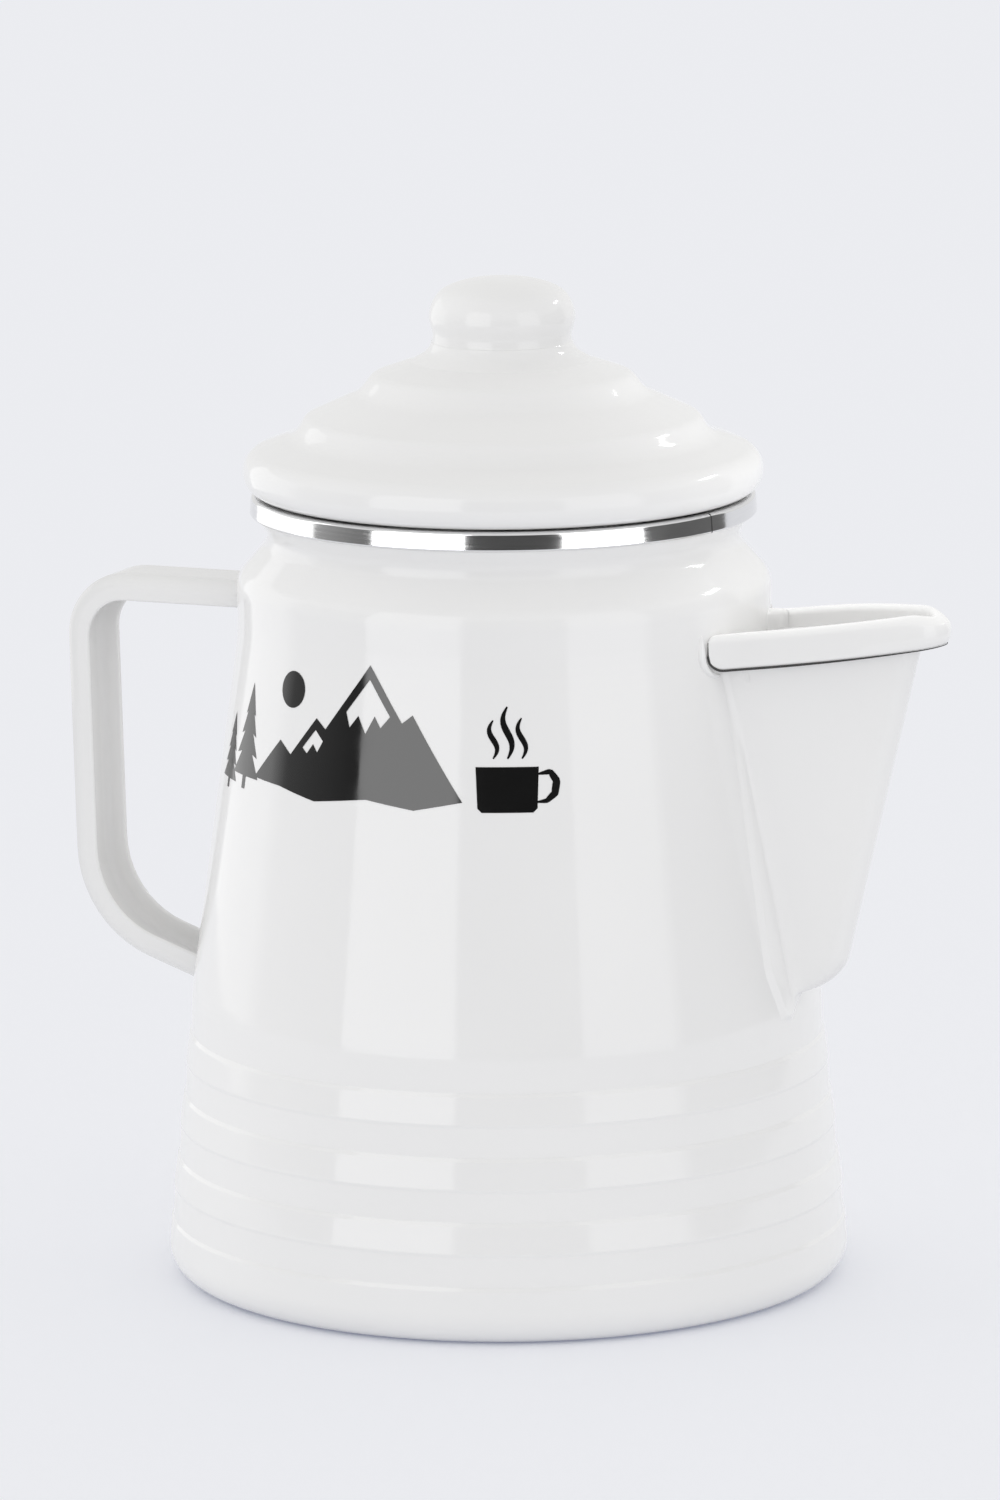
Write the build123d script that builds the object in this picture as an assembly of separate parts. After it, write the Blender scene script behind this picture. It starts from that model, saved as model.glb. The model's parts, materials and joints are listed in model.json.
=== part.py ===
from build123d import *
import os
from math import radians, sin, tan

# Enamelled steel camping percolator, in millimetres.
# Origin: centre of the flat base. +Z up, spout towards +X, handle towards -X.

# --- sheet thicknesses -------------------------------------------------------
ENAMEL_SHEET = 1.2      # steel sheet with its enamel coats
STEEL_SHEET = 0.6       # bare stainless sheet
BAND_SHEET = 0.5        # rolled rim band
LOOSE_GAP = 0.3         # air gap between pieces that lift apart
SHEET_BEND_R = 1.2      # usual bend in the bare sheet pieces

# --- pot body, outer surface -------------------------------------------------
BASE_R = 68.8           # radius of the foot, before its corner is rounded
BASE_CORNER_R = 6.0
RING_COUNT = 4          # stepped rings round the foot
RING_PITCH = 12.6
RING_TOP_Z = 51.0
RING_TOP_R = 63.4
RING_LEDGE_OUT = 0.45   # small ledge that starts each ring
RING_LEDGE_DROP = 0.9
RING_FACET_OUT = 0.75   # flared facet below the ledge
RING_FACET_DROP = 6.0
RING_NIP_IN = 0.15      # shallow nip below the facet
RING_NIP_DROP = 0.6
RING_GAIN = 1.38        # radius gained from one ring to the next
RING_EDGE_R = 0.5
WAIST_R = 63.25         # cone meets the straight waist
WAIST_Z = 57.0
WAIST_BLEND_R = 40.0
CONE_TOP_R = 53.1       # cone meets the shoulder
CONE_TOP_Z = 130.5
SHOULDER_R = 53.3
SHOULDER_Z = 141.6
SHOULDER_BLEND_R = 6.0
NECK_R = 46.2
NECK_Z = 149.6
NECK_BLEND_R = 3.4
MOUTH_R = 49.3          # flared mouth that carries the rim band
MOUTH_FLARE_Z = 154.0
MOUTH_BLEND_R = 1.6
RIM_TOP_Z = 157.9       # top of the rim band
RIM_BAND_R = 50.35
RIM_BAND_LOW_Z = 154.2
RIM_BAND_INNER_R = 47.15
RIM_BAND_INNER_LOW_Z = 155.8
RIM_BAND_EDGE_R = 0.9

# --- spout ------------------------------------------------------------------
SPOUT_TOP_Z = 139.0     # height of the section that sets the upper keel
SPOUT_LOW_Z = 60.0      # height of the section that sets the lower keel
SPOUT_KEEL_TOP_X = 89.6
SPOUT_KEEL_LOW_X = 70.8
SPOUT_POINT = 10.0      # sharp point of the vee beyond its rounded keel
SPOUT_ANGLE = 16.6      # half angle of the vee, in degrees
SPOUT_FLOOR_Z = 61.6
SPOUT_FLOOR_CORNER_R = 7.0
SPOUT_KEEL_EDGE_R = 3.9
SPOUT_ROOT_X = 40.0     # well inside the pot, trimmed to its wall later
LIP_TIP_X = 94.4        # blunt tip of the rolled lip
LIP_POINT = 17.1
LIP_ANGLE = 16.0
LIP_HEIGHT = 6.9
LIP_RISE = tan(radians(6.7))    # lip climbs towards its tip
LIP_ROOT_X = 52.5
LIP_ROOT_Z = 134.9      # top of the lip at the pot wall
LIP_TIP_R = 6.5
LIP_EDGE_R = 0.9
FLANGE_HALF_WIDTH = 13.8
FLANGE_TOP_Z = 132.9
FLANGE_NEAR_LOW_Z = 64.0
FLANGE_FAR_LOW_Z = 66.0
FLANGE_CORNER_R = 3.0
FLANGE_LOW_CORNER_R = 5.0
FLANGE_TONGUE_Y = -8.0  # rounded tongue below the spout, a little to one side
FLANGE_TONGUE_Z = 56.6
FLANGE_TONGUE_R = 2.6
FLANGE_NOTCH_R = 4.0    # hollow between the tongue and the far side

# --- strainer holes behind the spout -----------------------------------------
STRAINER_ROWS = (1, 2, 3, 2, 3, 2)
STRAINER_LOW_Z = 92.0
STRAINER_ROW_PITCH = 6.5
STRAINER_PITCH = 5.5
STRAINER_HOLE_R = 1.9

# --- handle, outer line and channel section ----------------------------------
HANDLE_TOP_Z = 137.9
HANDLE_ROOT_X = -45.0   # inside the pot, trimmed to its wall later
HANDLE_BACK_X = -93.3
HANDLE_CORNER_R = 13.0
HANDLE_LOW_X = -91.5
HANDLE_LOW_Z = 64.5
HANDLE_LOW_R = 24.0
HANDLE_FOOT_X = -56.0
HANDLE_FOOT_SLOPE = -0.35
HANDLE_WIDTH = 15.8
HANDLE_DEPTH = 5.3
HANDLE_EDGE_R = 2.6

# --- lid --------------------------------------------------------------------
LID_SEAT_Z = RIM_TOP_Z + LOOSE_GAP
LID_R = 51.7
LID_ROLL_TOP_R = 4.6
LID_ROLL_LOW_R = 3.4
LID_TOP_Z = 188.4       # where the knob is welded on
LID_TOP_R = 14.05
LID_SEAT_INNER_R = 46.4
LID_STEPS = (           # corners of the stepped dome: radius, height, rounding
    (14.05, 185.9, 3.0),
    (25.9, 181.9, 6.0),
    (28.8, 178.2, 7.0),
    (39.4, 173.4, 5.5),
    (41.6, 169.7, 7.0),
)
LID_ROLL_Z = 165.2
SKIRT_R = 45.2
SKIRT_LOW_Z = 147.0
SKIRT_FLANGE_R = 48.6
SKIRT_BEND_R = 1.0

# --- knob -------------------------------------------------------------------
KNOB_TOP_Z = 201.1
KNOB_MIDDLE_Z = 193.0
KNOB_LINE = ((7.0, 200.5), (12.3, 198.3), (14.55, 194.0), (13.85, 190.0))

# --- percolator insert --------------------------------------------------------
TUBE_R = 5.0
TUBE_WALL = 0.8
TUBE_LOW_Z = 20.0
TUBE_TOP_Z = 172.0
BELL_R = 38.0
BELL_LOW_Z = ENAMEL_SHEET + LOOSE_GAP
BELL_SHOULDER_R = 36.0
BELL_SHOULDER_Z = 10.0
BELL_SHOULDER_BLEND_R = 5.0
BELL_TOP_Z = 19.0
BELL_COLLAR_TOP_Z = 28.0
BELL_COLLAR_BLEND_R = 2.5
BELL_NOTCH_COUNT = 4
BELL_NOTCH_R = 2.4
BELL_NOTCH_START = 45.0  # degrees from the spout's side
STOP_R = 7.6
STOP_LOW_Z = 91.0
STOP_TOP_Z = 94.5
STOP_EDGE_R = 0.8

# --- basket -----------------------------------------------------------------
BASKET_FLOOR_Z = STOP_TOP_Z + LOOSE_GAP
BASKET_FLOOR_R = 39.6
BASKET_TOP_R = 41.0
BASKET_TOP_Z = 137.6
BASKET_FLANGE_R = 42.6
BASKET_CORNER_R = 3.0
SLEEVE_BORE_R = TUBE_R + LOOSE_GAP
SLEEVE_TOP_Z = 128.0
BASKET_HOLE_R = 1.1
BASKET_HOLE_RINGS = ((12.0, 10), (18.0, 16), (24.0, 22), (30.0, 28), (35.5, 34))

# --- basket spreader ----------------------------------------------------------
SPREADER_FLANGE_R = 42.8
SPREADER_FLANGE_Z = BASKET_TOP_Z + LOOSE_GAP
SPREADER_PAN_R = 38.9
SPREADER_PAN_Z = 134.4
SPREADER_COLLAR_R = 7.4
SPREADER_COLLAR_TOP_Z = 141.0
SPREADER_HOLE_R = 0.9
SPREADER_HOLE_RINGS = ((13.0, 12), (19.0, 18), (25.0, 24), (31.0, 30))

FAR = 200.0             # longer than the object in any direction
OVERRUN = 10.0          # how far a working block runs past what it trims
DRILL_LENGTH = 4.0      # upright drills through sheet floors


def sheet_of_revolution(line, thickness, side):
    """Turn an open outline of (radius, height) into a thin shell about Z."""
    section = make_face(offset(line, thickness, side=side))
    return revolve(Plane.XZ * section, Axis.Z)


def rounded_line(corners):
    """Polyline through (radius, height, rounding) corners; the ends have no rounding."""
    points = [(corner[0], corner[1]) for corner in corners]
    radii = [corner[2] for corner in corners[1:-1]]
    return FilletPolyline(*points, radius=radii)


def pot_outline():
    """Outer surface of the pot as (radius, height, rounding), from base centre to mouth."""
    corners = [(0.0, 0.0, 0.0), (BASE_R, 0.0, BASE_CORNER_R)]
    rings = []
    for ring in range(RING_COUNT):
        top_r = RING_TOP_R + ring * RING_GAIN
        top_z = RING_TOP_Z - ring * RING_PITCH
        ledge_r = top_r + RING_LEDGE_OUT
        ledge_z = top_z - RING_LEDGE_DROP
        facet_r = ledge_r + RING_FACET_OUT
        facet_z = ledge_z - RING_FACET_DROP
        rings.append((top_r, top_z, RING_EDGE_R))
        rings.append((ledge_r, ledge_z, RING_EDGE_R))
        if facet_z < BASE_CORNER_R * 2:
            break
        rings.append((facet_r, facet_z, RING_EDGE_R))
        rings.append((facet_r - RING_NIP_IN, facet_z - RING_NIP_DROP, RING_EDGE_R))
    corners.extend(reversed(rings))
    corners.append((WAIST_R, WAIST_Z, WAIST_BLEND_R))
    corners.append((CONE_TOP_R, CONE_TOP_Z, WAIST_BLEND_R))
    corners.append((SHOULDER_R, SHOULDER_Z, SHOULDER_BLEND_R))
    corners.append((NECK_R, NECK_Z, NECK_BLEND_R))
    corners.append((MOUTH_R, MOUTH_FLARE_Z, MOUTH_BLEND_R))
    corners.append((MOUTH_R, RIM_TOP_Z - BAND_SHEET, 0.0))
    return rounded_line(corners)


def solid_inside(line, grow=0.0):
    """Solid of revolution filling the pot's outline, optionally grown outwards."""
    top = line @ 1
    closing = Polyline((top.X, top.Y), (0.0, top.Y), (0.0, 0.0))
    face = make_face(line + closing)
    if grow:
        face = offset(face, grow)
        half = Pos(FAR / 2, 0) * Rectangle(FAR, 3 * FAR)
        face = face & half
    return revolve(Plane.XZ * face, Axis.Z)


def strainer_holes():
    """Small round holes through the wall behind the spout."""
    holes = []
    for row, count in enumerate(STRAINER_ROWS):
        height = STRAINER_LOW_Z + row * STRAINER_ROW_PITCH
        for column in range(count):
            across = (column - (count - 1) / 2) * STRAINER_PITCH
            drill = Rotation(0, 90, 0) * Cylinder(STRAINER_HOLE_R, BASE_R)
            holes.append(Pos(BASE_R, across, height) * drill)
    return holes


def make_pot_shell(line):
    shell = sheet_of_revolution(line, ENAMEL_SHEET, Side.LEFT)
    return shell - strainer_holes()


def make_rim_band():
    """Channel of thin steel that wraps the pot's mouth."""
    line = rounded_line([
        (RIM_BAND_INNER_R, RIM_BAND_INNER_LOW_Z, 0.0),
        (RIM_BAND_INNER_R, RIM_TOP_Z, RIM_BAND_EDGE_R),
        (RIM_BAND_R, RIM_TOP_Z, RIM_BAND_EDGE_R),
        (RIM_BAND_R, RIM_BAND_LOW_Z, 0.0),
    ])
    return sheet_of_revolution(line, BAND_SHEET, Side.RIGHT)


def keel_at(height):
    """Distance of the spout's keel from the pot's axis, at one height."""
    share = (height - SPOUT_LOW_Z) / (SPOUT_TOP_Z - SPOUT_LOW_Z)
    return SPOUT_KEEL_LOW_X + share * (SPOUT_KEEL_TOP_X - SPOUT_KEEL_LOW_X)


def vee_section(height, point):
    """Triangle that narrows to the keel, at one height."""
    tip_x = keel_at(height) + point
    half_width = (tip_x - SPOUT_ROOT_X) * tan(radians(SPOUT_ANGLE))
    outline = Polyline(
        (tip_x, 0.0), (SPOUT_ROOT_X, half_width), (SPOUT_ROOT_X, -half_width), close=True
    )
    return Pos(0, 0, height) * make_face(outline)


def vee_block(inset):
    """Wedge bounded by the spout's two flanks, with both moved in by inset."""
    point = SPOUT_POINT - inset / sin(radians(SPOUT_ANGLE))
    top = vee_section(SPOUT_TOP_Z + OVERRUN, point)
    low = vee_section(SPOUT_LOW_Z - OVERRUN, point)
    return loft([low, top], ruled=True)


def side_block(inset):
    """Slab with the spout's side outline: floor, rounded heel and keel."""
    top_z = SPOUT_TOP_Z + OVERRUN
    floor_z = SPOUT_FLOOR_Z + inset
    corners = [
        (SPOUT_ROOT_X, floor_z, 0.0),
        (keel_at(floor_z) - inset, floor_z, SPOUT_FLOOR_CORNER_R - inset),
        (keel_at(top_z) - inset, top_z, 0.0),
    ]
    line = rounded_line(corners)
    closing = Polyline(line @ 1, (SPOUT_ROOT_X, top_z), (SPOUT_ROOT_X, floor_z))
    face = Plane.XZ * make_face(line + closing)
    return extrude(face, FAR / 2, both=True)


def lip_top_at(x):
    """Height of the lip's top edge, which climbs towards the tip."""
    return LIP_ROOT_Z + (x - LIP_ROOT_X) * LIP_RISE


def slanted_slab(low_offset, high_offset):
    """Slab that follows the lip's slope, between two heights measured from its top."""
    near_x = SPOUT_ROOT_X
    far_x = LIP_TIP_X + OVERRUN
    face = make_face(Polyline(
        (near_x, lip_top_at(near_x) + low_offset),
        (far_x, lip_top_at(far_x) + low_offset),
        (far_x, lip_top_at(far_x) + high_offset),
        (near_x, lip_top_at(near_x) + high_offset),
        close=True,
    ))
    return extrude(Plane.XZ * face, FAR / 2, both=True)


def lip_block():
    """Upright vee with a rounded tip that bounds the rolled lip."""
    tip_x = LIP_TIP_X + LIP_POINT
    half_width = (tip_x - SPOUT_ROOT_X) * tan(radians(LIP_ANGLE))
    outline = FilletPolyline(
        (SPOUT_ROOT_X, half_width), (tip_x, 0.0), (SPOUT_ROOT_X, -half_width), radius=LIP_TIP_R
    )
    face = make_face(outline + Line((SPOUT_ROOT_X, -half_width), (SPOUT_ROOT_X, half_width)))
    block = extrude(face, FAR) & slanted_slab(-LIP_HEIGHT, 0)
    edges = block.edges().filter_by(lambda edge: edge.center().X > SPOUT_ROOT_X + 1)
    return fillet(edges.filter_by(Axis.Z, reverse=True), LIP_EDGE_R)


def make_flange(line):
    """Skirt of sheet that lies on the pot wall round the spout's root."""
    wall_skin = solid_inside(line, ENAMEL_SHEET) - solid_inside(line)
    corners = [
        (-FLANGE_HALF_WIDTH, FLANGE_TOP_Z, FLANGE_CORNER_R),
        (-FLANGE_HALF_WIDTH, FLANGE_NEAR_LOW_Z, FLANGE_LOW_CORNER_R),
        (FLANGE_TONGUE_Y, FLANGE_TONGUE_Z, FLANGE_TONGUE_R),
        (0.0, SPOUT_FLOOR_Z, FLANGE_NOTCH_R),
        (FLANGE_HALF_WIDTH, FLANGE_FAR_LOW_Z, FLANGE_LOW_CORNER_R),
        (FLANGE_HALF_WIDTH, FLANGE_TOP_Z, FLANGE_CORNER_R),
    ]
    points = [(corner[0], corner[1]) for corner in corners]
    radii = [corner[2] for corner in corners]
    outline = FilletPolyline(*points, radius=radii, close=True)
    window = extrude(Plane.YZ * make_face(outline), FAR)
    return wall_skin & window


def make_spout(line):
    """Folded vee trough with a rolled lip, welded on the pot wall by its flange."""
    outer = side_block(0) & vee_block(0)
    keel_edges = outer.edges().filter_by(
        lambda edge: edge.center().X > SPOUT_ROOT_X + 1 and edge.center().Z < SPOUT_TOP_Z + OVERRUN - 1
    )
    outer = fillet(keel_edges, SPOUT_KEEL_EDGE_R)
    hollow = side_block(ENAMEL_SHEET) & vee_block(ENAMEL_SHEET)
    below_lip_top = slanted_slab(-FAR, 0)
    trough = (outer & below_lip_top) + lip_block() + make_flange(line)
    return trough - hollow - solid_inside(line)


def handle_line():
    """Outer side of the handle, from the pot's shoulder round to its waist."""
    foot_z = HANDLE_LOW_Z + (HANDLE_FOOT_X - HANDLE_LOW_X) * HANDLE_FOOT_SLOPE
    return rounded_line([
        (HANDLE_ROOT_X, HANDLE_TOP_Z, 0.0),
        (HANDLE_BACK_X, HANDLE_TOP_Z, HANDLE_CORNER_R),
        (HANDLE_LOW_X, HANDLE_LOW_Z, HANDLE_LOW_R),
        (HANDLE_FOOT_X, foot_z, 0.0),
    ])


def make_handle(pot_line):
    """Channel of enamelled sheet, open towards the pot, welded on at both ends."""
    line = handle_line()
    strip = make_face(offset(line, HANDLE_DEPTH, side=Side.LEFT))
    back = make_face(offset(line, ENAMEL_SHEET, side=Side.LEFT))
    hollow = make_face(offset(line, HANDLE_DEPTH + OVERRUN, side=Side.LEFT)) - back
    bar = extrude(Plane.XZ * strip, HANDLE_WIDTH / 2, both=True)
    channel = extrude(Plane.XZ * hollow, HANDLE_WIDTH / 2 - ENAMEL_SHEET, both=True)
    outer_line = Plane.XZ * line
    sides = bar.edges().filter_by(lambda edge: abs(edge.center().Y) > HANDLE_WIDTH / 2 - 0.01)
    outer_edges = sides.filter_by(
        lambda edge: outer_line.distance_to(edge @ 0.5) < HANDLE_WIDTH / 2 + 0.01
    )
    bar = fillet(outer_edges, HANDLE_EDGE_R)
    return bar - channel - solid_inside(pot_line)


def make_lid_shell():
    """Stepped dome with a rolled edge and a flat seat ring."""
    corners = [(LID_TOP_R, LID_TOP_Z, 0.0)]
    corners.extend(LID_STEPS)
    corners.append((LID_R, LID_ROLL_Z, LID_ROLL_TOP_R))
    corners.append((LID_R, LID_SEAT_Z, LID_ROLL_LOW_R))
    corners.append((LID_SEAT_INNER_R, LID_SEAT_Z, 0.0))
    return sheet_of_revolution(rounded_line(corners), ENAMEL_SHEET, Side.RIGHT)


def knob_line(inset):
    """Knob outline from its crown to its foot, drawn in towards its middle by inset."""
    points = [(0.0, KNOB_TOP_Z - inset)]
    for radius, height in KNOB_LINE:
        away = Vector(radius, height - KNOB_MIDDLE_Z).normalized()
        points.append((radius - inset * away.X, height - inset * away.Y))
    points.append((LID_TOP_R - inset, LID_TOP_Z))
    return Spline(*points, tangents=((1, 0), (0, -1)))


def make_lid_knob():
    """Hollow flattened knob, welded on the lid's top edge."""
    outer = knob_line(0.0)
    inner = knob_line(ENAMEL_SHEET)
    section = make_face([outer, Line(outer @ 1, inner @ 1), inner, Line(inner @ 0, outer @ 0)])
    return revolve(Plane.XZ * section, Axis.Z)


def make_lid_skirt():
    """Ring inside the lid that centres it in the pot's neck."""
    seat_top_z = LID_SEAT_Z + ENAMEL_SHEET
    line = rounded_line([
        (SKIRT_R, SKIRT_LOW_Z, 0.0),
        (SKIRT_R, seat_top_z, SKIRT_BEND_R),
        (SKIRT_FLANGE_R, seat_top_z, 0.0),
    ])
    return sheet_of_revolution(line, STEEL_SHEET, Side.LEFT)


def ring(outer_r, inner_r, low_z, top_z):
    """Plain ring about the Z axis."""
    height = top_z - low_z
    middle = Pos(0, 0, (low_z + top_z) / 2)
    return middle * (Cylinder(outer_r, height) - Cylinder(inner_r, height))


def make_riser_tube():
    return ring(TUBE_R, TUBE_R - TUBE_WALL, TUBE_LOW_Z, TUBE_TOP_Z)


def make_pump_bell():
    """Bell that traps water on the pot's floor and carries the tube in its collar."""
    collar_r = TUBE_R + STEEL_SHEET
    line = rounded_line([
        (BELL_R, BELL_LOW_Z, 0.0),
        (BELL_SHOULDER_R, BELL_SHOULDER_Z, BELL_SHOULDER_BLEND_R),
        (collar_r, BELL_TOP_Z, BELL_COLLAR_BLEND_R),
        (collar_r, BELL_COLLAR_TOP_Z, 0.0),
    ])
    bell = sheet_of_revolution(line, STEEL_SHEET, Side.LEFT)
    notch = Pos(BELL_R, 0, BELL_LOW_Z) * Rotation(0, 90, 0) * Cylinder(BELL_NOTCH_R, OVERRUN)
    notches = [
        Rotation(0, 0, BELL_NOTCH_START + index * 360 / BELL_NOTCH_COUNT) * notch
        for index in range(BELL_NOTCH_COUNT)
    ]
    return bell - notches


def make_basket_stop():
    """Small ring pressed on the tube, on which the basket sits."""
    stop = ring(STOP_R, TUBE_R, STOP_LOW_Z, STOP_TOP_Z)
    rims = stop.edges().filter_by(GeomType.CIRCLE)
    outer_rims = rims.filter_by(lambda edge: edge.radius > (TUBE_R + STOP_R) / 2)
    return fillet(outer_rims, STOP_EDGE_R)


def drill_rings(hole_rings, hole_r, height):
    """Upright drills in concentric rings of (radius, count)."""
    drills = []
    for ring_r, count in hole_rings:
        for index in range(count):
            turn = Rotation(0, 0, index * 360 / count)
            drills.append(turn * Pos(ring_r, 0, height) * Cylinder(hole_r, DRILL_LENGTH))
    return drills


def make_basket_cup():
    """Straight-sided cup with a perforated floor and a small rolled flange."""
    line = rounded_line([
        (SLEEVE_BORE_R + STEEL_SHEET, BASKET_FLOOR_Z, 0.0),
        (BASKET_FLOOR_R, BASKET_FLOOR_Z, BASKET_CORNER_R),
        (BASKET_TOP_R - STEEL_SHEET, BASKET_TOP_Z - STEEL_SHEET, SHEET_BEND_R),
        (BASKET_FLANGE_R, BASKET_TOP_Z - STEEL_SHEET, 0.0),
    ])
    cup = sheet_of_revolution(line, STEEL_SHEET, Side.LEFT)
    return cup - drill_rings(BASKET_HOLE_RINGS, BASKET_HOLE_R, BASKET_FLOOR_Z)


def make_basket_sleeve():
    """Tube in the basket's middle that slides on the riser."""
    return ring(SLEEVE_BORE_R + STEEL_SHEET, SLEEVE_BORE_R, BASKET_FLOOR_Z, SLEEVE_TOP_Z)


def make_basket_spreader():
    """Perforated pan that closes the basket and spreads the water over the coffee."""
    line = rounded_line([
        (SPREADER_COLLAR_R, SPREADER_COLLAR_TOP_Z, 0.0),
        (SPREADER_COLLAR_R, SPREADER_PAN_Z, SHEET_BEND_R),
        (SPREADER_PAN_R, SPREADER_PAN_Z, SHEET_BEND_R),
        (SPREADER_PAN_R, SPREADER_FLANGE_Z, SHEET_BEND_R),
        (SPREADER_FLANGE_R, SPREADER_FLANGE_Z, 0.0),
    ])
    pan = sheet_of_revolution(line, STEEL_SHEET, Side.LEFT)
    return pan - drill_rings(SPREADER_HOLE_RINGS, SPREADER_HOLE_R, SPREADER_PAN_Z)


def main():
    pot_line = pot_outline()
    nodes = {
        "pot_shell": make_pot_shell(pot_line),
        "rim_band": make_rim_band(),
        "spout": make_spout(pot_line),
        "handle": make_handle(pot_line),
        "lid_shell": make_lid_shell(),
        "lid_knob": make_lid_knob(),
        "lid_skirt": make_lid_skirt(),
        "riser_tube": make_riser_tube(),
        "pump_bell": make_pump_bell(),
        "basket_stop": make_basket_stop(),
        "basket_cup": make_basket_cup(),
        "basket_sleeve": make_basket_sleeve(),
        "basket_spreader": make_basket_spreader(),
    }
    os.makedirs("parts", exist_ok=True)
    for name, shape in nodes.items():
        export_step(shape, f"parts/{name}.step")


main()
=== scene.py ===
import json
from math import asin, atan2, ceil, cos, degrees, hypot, pi, radians, sin, sqrt, tan

import bpy
import bmesh
from mathutils import Matrix, Vector, geometry

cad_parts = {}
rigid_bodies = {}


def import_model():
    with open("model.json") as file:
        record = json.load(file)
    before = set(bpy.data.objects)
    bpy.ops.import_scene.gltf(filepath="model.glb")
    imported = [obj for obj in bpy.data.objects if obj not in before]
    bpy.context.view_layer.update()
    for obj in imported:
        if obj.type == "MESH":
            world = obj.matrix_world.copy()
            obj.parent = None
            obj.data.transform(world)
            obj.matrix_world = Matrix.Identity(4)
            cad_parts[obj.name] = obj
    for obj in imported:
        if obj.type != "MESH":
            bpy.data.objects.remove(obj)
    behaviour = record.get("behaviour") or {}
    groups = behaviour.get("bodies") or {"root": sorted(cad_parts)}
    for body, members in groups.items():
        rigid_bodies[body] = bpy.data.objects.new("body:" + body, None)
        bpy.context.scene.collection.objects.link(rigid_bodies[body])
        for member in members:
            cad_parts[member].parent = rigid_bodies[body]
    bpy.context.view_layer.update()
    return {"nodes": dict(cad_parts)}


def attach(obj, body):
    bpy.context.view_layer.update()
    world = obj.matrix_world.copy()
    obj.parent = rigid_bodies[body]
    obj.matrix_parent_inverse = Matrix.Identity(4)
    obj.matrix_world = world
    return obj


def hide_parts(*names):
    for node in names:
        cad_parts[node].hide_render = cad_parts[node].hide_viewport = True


# Looks of an enamelled camping percolator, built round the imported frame.
# Lengths of the pot are millimetres, and MM turns them into Blender's metres. The lights are in metres.
MM = 0.001
TURN_SEGMENTS = 240         # round the pot
KNOB_SEGMENTS = 160
ARC_STEP = 7.5              # most degrees between two points of a rounding

# --- colours of bare steel, between which it varies
BAND_TONES = ((0.72, 0.72, 0.722), (0.84, 0.84, 0.84))
SATIN_TONES = ((0.50, 0.50, 0.49), (0.64, 0.64, 0.63))

# --- camera
CAMERA_AT = (661.4, -1639.7, 443.0)
CAMERA_AIM = (-0.96, -0.39, 105.7)
CAMERA_ROLL = 0.42          # degrees, the object's right side appears raised
CAMERA_LENS = 216.0
CAMERA_AZIMUTH = degrees(atan2(CAMERA_AT[1], CAMERA_AT[0]))

# --- pot, outer outline as (radius, height, rounding)
SHEET = 1.2                 # enamelled steel
BASE_R = 68.8
BASE_CORNER_R = 6.0
RING_COUNT = 4
RING_PITCH = 12.6
RING_TOP_Z = 51.0
RING_TOP_R = 63.4
RING_GAIN = 1.38            # each ring stands out this much further than the one above it
RING_STEPS = (              # radius and height from a ring's top edge, and rounding
    (0.0, -1.3, 0.4),
    (0.42, -2.0, 0.4),
    (1.2, -7.4, 0.5),
    (1.05, -8.0, 0.5),
)
POT_UPPER = (
    (63.25, 57.0, 40.0),
    (53.1, 130.5, 40.0),
    (53.3, 141.6, 6.0),
    (46.2, 149.6, 3.4),
    (49.3, 154.0, 1.6),
    (49.3, 157.4, 0.0),
)
POT_INNER = (
    (48.1, 157.4, 0.0),
    (48.1, 154.3, 2.0),
    (45.0, 149.7, 2.4),
    (52.1, 141.4, 5.0),
    (51.9, 130.5, 40.0),
    (62.05, 57.0, 40.0),
    (62.2, 51.0, 8.0),
    (67.4, 1.2, 4.8),
    (0.0, 1.2, 0.0),
)
STRAINER_ROWS = (1, 2, 3, 2, 3, 2)      # holes behind the spout, from the lowest row up
STRAINER_LOW_Z = 92.0
STRAINER_ROW_PITCH = 6.5
STRAINER_PITCH = 5.5
STRAINER_HOLE_R = 1.9
STRAINER_DRILL_X = (45.0, 62.0)         # from inside the wall to outside it

# --- rim band
BAND_OUTLINE = (
    (47.15, 155.8, 0.0),
    (47.15, 158.05, 0.9),
    (50.2, 158.05, 0.8),
    (50.5, 154.2, 0.45),
    (49.4, 154.2, 0.0),
)
BAND_JOINT_AZIMUTH = radians(-14.0)
BAND_JOINT_WIDTH = 0.32
BAND_JOINT_LIFT = 0.02
BAND_TOP_Z = 157.5          # above this the band's outline runs over its top
BAND_FACE_R = 49.0          # beyond this radius its outline is in sight
BAND_SHEET = 0.45

# --- lid and knob
LID_OUTLINE = (
    (14.05, 188.4, 0.0),
    (14.05, 185.9, 3.0),
    (25.9, 181.9, 4.0),
    (28.8, 178.2, 5.6),
    (39.4, 173.4, 3.2),
    (41.6, 169.7, 5.6),
    (51.7, 166.0, 4.3),
    (51.7, 158.2, 4.2),
    (46.4, 158.2, 0.0),
)
KNOB_POINTS = (             # cap and neck, running out on the lid
    (0.0, 201.1), (7.0, 200.5), (12.3, 198.3), (14.55, 194.0), (13.85, 190.0), (14.15, 188.0), (15.4, 186.2),
    (18.4, 184.35),
)
KNOB_MIDDLE_Z = 193.0
SKIRT_OUTLINE = ((45.2, 147.0, 0.0), (45.2, 159.4, 1.0), (48.6, 159.4, 0.0))
STEEL_SHEET = 0.6

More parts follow.
